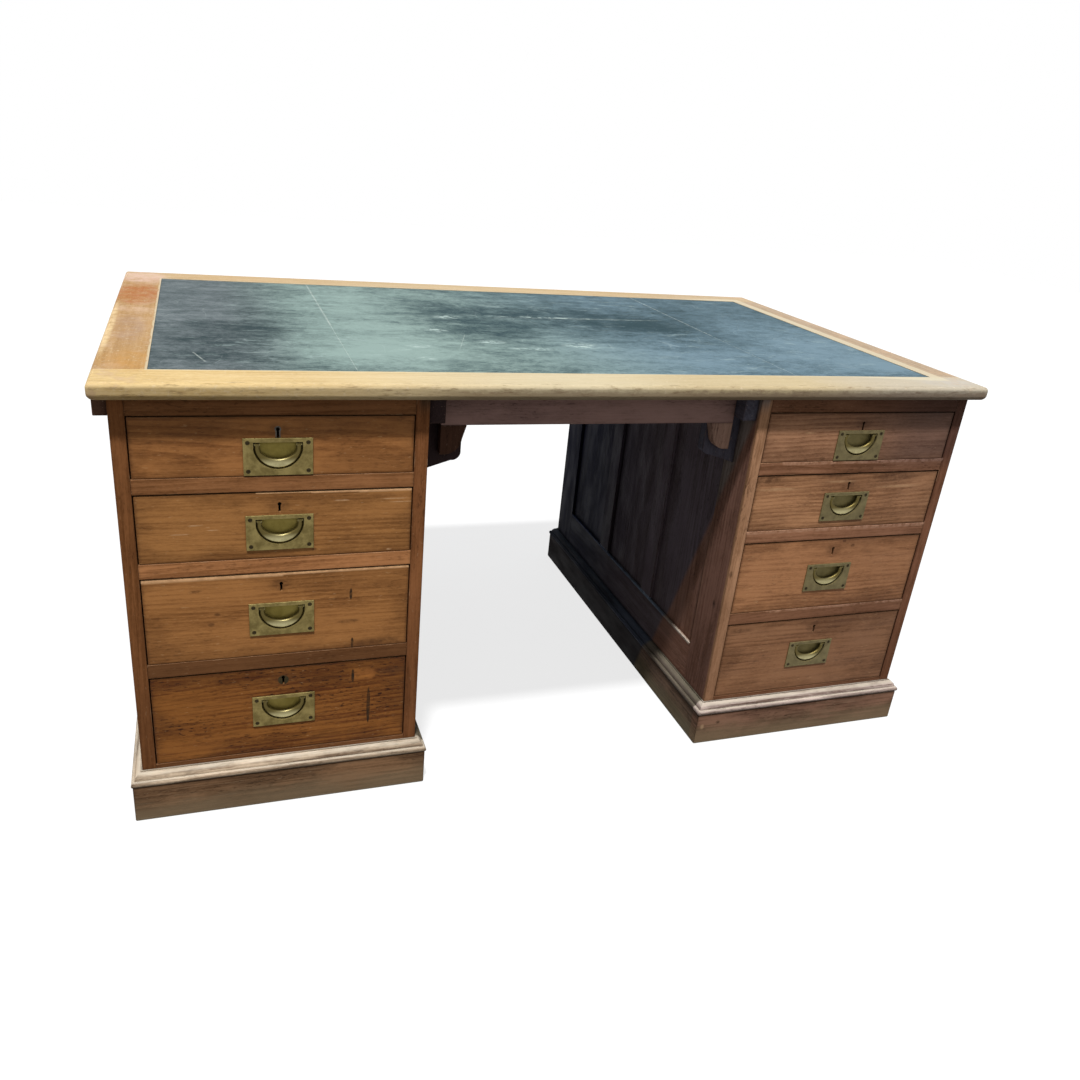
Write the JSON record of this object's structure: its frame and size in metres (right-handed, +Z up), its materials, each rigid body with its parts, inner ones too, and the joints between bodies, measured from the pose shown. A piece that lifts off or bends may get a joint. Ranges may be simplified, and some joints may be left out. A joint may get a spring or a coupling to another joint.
{
  "type": "campaign desk",
  "caption": "Free-standing pedestal desk with a leather writing top, panelled sides, lockable sliding drawers and recessed brass drop handles.",
  "frame": {"origin": "on the floor under the middle of the top", "axes": "+X along the desk to the right of someone facing the drawers, +Y from front to back, +Z up"},
  "size_m": [1.592, 0.944, 0.77],
  "materials": {
    "top_border_wood": "worn golden polish, open grain",
    "writing_leather": "worn slate-black skiver, scuffed and streaked",
    "pedestal_pine": "old reddish-brown varnish on pine",
    "drawer_front_pine": "orange-brown varnished pine with dark grain",
    "worn_moulding": "varnish worn to pale grey wood",
    "drawer_lining": "bare old pine",
    "inner_pine": "bare old pine, dusty",
    "aged_brass": "aged greenish brass, polished by hands on the grips",
    "lock_steel": "dull worn steel",
    "screw_steel": "dull worn steel"
  },
  "bodies": {
    "root": {"cleat_screws": "screw_steel", "knee_hole_aprons": "pedestal_pine", "left_back_panelling": "pedestal_pine", "left_drawer_rails": "pedestal_pine", "left_drawer_runners": "inner_pine", "left_plinth_boards": "pedestal_pine", "left_plinth_moulding": "worn_moulding", "left_side_frames": "pedestal_pine", "left_side_panels": "pedestal_pine", "right_back_panelling": "pedestal_pine", "right_drawer_rails": "pedestal_pine", "right_drawer_runners": "inner_pine", "right_plinth_boards": "pedestal_pine", "right_plinth_moulding": "worn_moulding", "right_side_frames": "pedestal_pine", "right_side_panels": "pedestal_pine", "top_borders": "top_border_wood", "top_cleats": "pedestal_pine", "top_panel": "inner_pine", "writing_leather": "writing_leather"},
    "left_drawer_1_bail": {"left_drawer_1_bail": "aged_brass"},
    "left_drawer_1_bolt": {"left_drawer_1_bolt": "lock_steel"},
    "left_drawer_1": {"left_drawer_1_box": "drawer_lining", "left_drawer_1_fittings": "aged_brass", "left_drawer_1_front": "drawer_front_pine"},
    "left_drawer_2_bail": {"left_drawer_2_bail": "aged_brass"},
    "left_drawer_2_bolt": {"left_drawer_2_bolt": "lock_steel"},
    "left_drawer_2": {"left_drawer_2_box": "drawer_lining", "left_drawer_2_fittings": "aged_brass", "left_drawer_2_front": "drawer_front_pine"},
    "left_drawer_3_bail": {"left_drawer_3_bail": "aged_brass"},
    "left_drawer_3_bolt": {"left_drawer_3_bolt": "lock_steel"},
    "left_drawer_3": {"left_drawer_3_box": "drawer_lining", "left_drawer_3_fittings": "aged_brass", "left_drawer_3_front": "drawer_front_pine"},
    "left_drawer_4_bail": {"left_drawer_4_bail": "aged_brass"},
    "left_drawer_4_bolt": {"left_drawer_4_bolt": "lock_steel"},
    "left_drawer_4": {"left_drawer_4_box": "drawer_lining", "left_drawer_4_fittings": "aged_brass", "left_drawer_4_front": "drawer_front_pine"},
    "right_drawer_1_bail": {"right_drawer_1_bail": "aged_brass"},
    "right_drawer_1_bolt": {"right_drawer_1_bolt": "lock_steel"},
    "right_drawer_1": {"right_drawer_1_box": "drawer_lining", "right_drawer_1_fittings": "aged_brass", "right_drawer_1_front": "drawer_front_pine"},
    "right_drawer_2_bail": {"right_drawer_2_bail": "aged_brass"},
    "right_drawer_2_bolt": {"right_drawer_2_bolt": "lock_steel"},
    "right_drawer_2": {"right_drawer_2_box": "drawer_lining", "right_drawer_2_fittings": "aged_brass", "right_drawer_2_front": "drawer_front_pine"},
    "right_drawer_3_bail": {"right_drawer_3_bail": "aged_brass"},
    "right_drawer_3_bolt": {"right_drawer_3_bolt": "lock_steel"},
    "right_drawer_3": {"right_drawer_3_box": "drawer_lining", "right_drawer_3_fittings": "aged_brass", "right_drawer_3_front": "drawer_front_pine"},
    "right_drawer_4_bail": {"right_drawer_4_bail": "aged_brass"},
    "right_drawer_4_bolt": {"right_drawer_4_bolt": "lock_steel"},
    "right_drawer_4": {"right_drawer_4_box": "drawer_lining", "right_drawer_4_fittings": "aged_brass", "right_drawer_4_front": "drawer_front_pine"}
  },
  "joints": [
    {"name": "left_drawer_1_slide", "type": "slide", "parent": "root", "child": "left_drawer_1", "axis": [0, -1, 0], "range_m": [0, 0.55]},
    {"name": "left_drawer_1_bail_swing", "type": "hinge", "parent": "left_drawer_1", "child": "left_drawer_1_bail", "pos_m": [-0.539, -0.4465, 0.66946], "axis": [-1, 0, 0], "range_deg": [0, 90]},
    {"name": "left_drawer_1_bolt_throw", "type": "slide", "parent": "left_drawer_1", "child": "left_drawer_1_bolt", "axis": [0, 0, 1], "range_m": [0, 0.007]},
    {"name": "left_drawer_2_slide", "type": "slide", "parent": "root", "child": "left_drawer_2", "axis": [0, -1, 0], "range_m": [0, 0.55]},
    {"name": "left_drawer_2_bail_swing", "type": "hinge", "parent": "left_drawer_2", "child": "left_drawer_2_bail", "pos_m": [-0.539, -0.4465, 0.54248], "axis": [-1, 0, 0], "range_deg": [0, 90]},
    {"name": "left_drawer_2_bolt_throw", "type": "slide", "parent": "left_drawer_2", "child": "left_drawer_2_bolt", "axis": [0, 0, 1], "range_m": [0, 0.007]},
    {"name": "left_drawer_3_slide", "type": "slide", "parent": "root", "child": "left_drawer_3", "axis": [0, -1, 0], "range_m": [0, 0.55]},
    {"name": "left_drawer_3_bail_swing", "type": "hinge", "parent": "left_drawer_3", "child": "left_drawer_3_bail", "pos_m": [-0.539, -0.4465, 0.38631], "axis": [-1, 0, 0], "range_deg": [0, 90]},
    {"name": "left_drawer_3_bolt_throw", "type": "slide", "parent": "left_drawer_3", "child": "left_drawer_3_bolt", "axis": [0, 0, 1], "range_m": [0, 0.007]},
    {"name": "left_drawer_4_slide", "type": "slide", "parent": "root", "child": "left_drawer_4", "axis": [0, -1, 0], "range_m": [0, 0.55]},
    {"name": "left_drawer_4_bail_swing", "type": "hinge", "parent": "left_drawer_4", "child": "left_drawer_4_bail", "pos_m": [-0.539, -0.4465, 0.20556], "axis": [-1, 0, 0], "range_deg": [0, 90]},
    {"name": "left_drawer_4_bolt_throw", "type": "slide", "parent": "left_drawer_4", "child": "left_drawer_4_bolt", "axis": [0, 0, 1], "range_m": [0, 0.007]},
    {"name": "right_drawer_1_slide", "type": "slide", "parent": "root", "child": "right_drawer_1", "axis": [0, -1, 0], "range_m": [0, 0.55]},
    {"name": "right_drawer_1_bail_swing", "type": "hinge", "parent": "right_drawer_1", "child": "right_drawer_1_bail", "pos_m": [0.539, -0.4465, 0.66946], "axis": [-1, 0, 0], "range_deg": [0, 90]},
    {"name": "right_drawer_1_bolt_throw", "type": "slide", "parent": "right_drawer_1", "child": "right_drawer_1_bolt", "axis": [0, 0, 1], "range_m": [0, 0.007]},
    {"name": "right_drawer_2_slide", "type": "slide", "parent": "root", "child": "right_drawer_2", "axis": [0, -1, 0], "range_m": [0, 0.55]},
    {"name": "right_drawer_2_bail_swing", "type": "hinge", "parent": "right_drawer_2", "child": "right_drawer_2_bail", "pos_m": [0.539, -0.4465, 0.54248], "axis": [-1, 0, 0], "range_deg": [0, 90]},
    {"name": "right_drawer_2_bolt_throw", "type": "slide", "parent": "right_drawer_2", "child": "right_drawer_2_bolt", "axis": [0, 0, 1], "range_m": [0, 0.007]},
    {"name": "right_drawer_3_slide", "type": "slide", "parent": "root", "child": "right_drawer_3", "axis": [0, -1, 0], "range_m": [0, 0.55]},
    {"name": "right_drawer_3_bail_swing", "type": "hinge", "parent": "right_drawer_3", "child": "right_drawer_3_bail", "pos_m": [0.539, -0.4465, 0.38631], "axis": [-1, 0, 0], "range_deg": [0, 90]},
    {"name": "right_drawer_3_bolt_throw", "type": "slide", "parent": "right_drawer_3", "child": "right_drawer_3_bolt", "axis": [0, 0, 1], "range_m": [0, 0.007]},
    {"name": "right_drawer_4_slide", "type": "slide", "parent": "root", "child": "right_drawer_4", "axis": [0, -1, 0], "range_m": [0, 0.55]},
    {"name": "right_drawer_4_bail_swing", "type": "hinge", "parent": "right_drawer_4", "child": "right_drawer_4_bail", "pos_m": [0.539, -0.4465, 0.20556], "axis": [-1, 0, 0], "range_deg": [0, 90]},
    {"name": "right_drawer_4_bolt_throw", "type": "slide", "parent": "right_drawer_4", "child": "right_drawer_4_bolt", "axis": [0, 0, 1], "range_m": [0, 0.007]}
  ]
}
